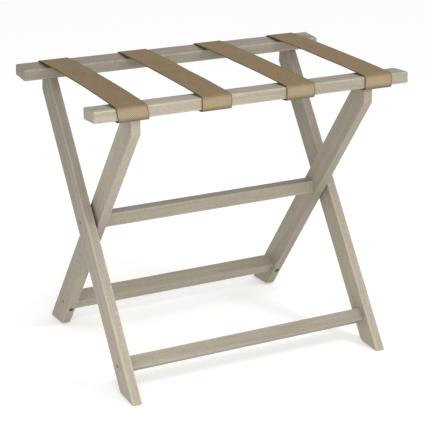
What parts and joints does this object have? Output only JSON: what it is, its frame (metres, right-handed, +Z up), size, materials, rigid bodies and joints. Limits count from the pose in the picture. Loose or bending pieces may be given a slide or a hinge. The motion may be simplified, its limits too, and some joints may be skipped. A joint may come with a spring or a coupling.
{
  "type": "folding luggage rack",
  "caption": "Folding wooden luggage rack: two crossed leg frames turn on one pivot line under woven webbing straps.",
  "frame": {"origin": "on the floor, midway between the four feet with the rack open", "axes": "+X along the rails to the right, +Y from front to back, +Z up"},
  "size_m": [0.597, 0.4222, 0.5112],
  "materials": {
    "rail_wood": "pale washed matt",
    "leg_wood": "pale washed matt",
    "stretcher_wood": "pale washed matt",
    "webbing": "woven, matt",
    "steel_screw": "dark bronzed",
    "steel_tack": "blued",
    "spacer_nylon": "black, matt",
    "bumper_rubber": "black, matt"
  },
  "bodies": {
    "outer_frame": {"back_rail": "rail_wood", "outer_leg_left": "leg_wood", "outer_leg_right": "leg_wood", "front_stretcher": "stretcher_wood", "strap_1": "webbing", "strap_2": "webbing", "strap_3": "webbing", "strap_4": "webbing", "stretcher_screws_front": "steel_screw", "rail_screws_back": "steel_screw", "strap_tacks_back": "steel_tack", "pivot_spacer_left": "spacer_nylon", "pivot_spacer_right": "spacer_nylon"},
    "inner_frame": {"front_rail": "rail_wood", "inner_leg_left": "leg_wood", "inner_leg_right": "leg_wood", "back_stretcher": "stretcher_wood", "middle_stretcher": "stretcher_wood", "stretcher_screws_back": "steel_screw", "rail_screws_front": "steel_screw", "strap_tacks_front": "steel_tack", "pivot_screw_left": "steel_screw", "pivot_screw_right": "steel_screw", "bumper_left": "bumper_rubber", "bumper_right": "bumper_rubber"}
  },
  "joints": [
    {"name": "fold", "type": "hinge", "parent": "outer_frame", "child": "inner_frame", "pos_m": [0, 0.004, 0.2589], "axis": [-1, 0, 0], "range_deg": [0, 55.5], "deforming": ["strap_1", "strap_2", "strap_3", "strap_4"]}
  ]
}
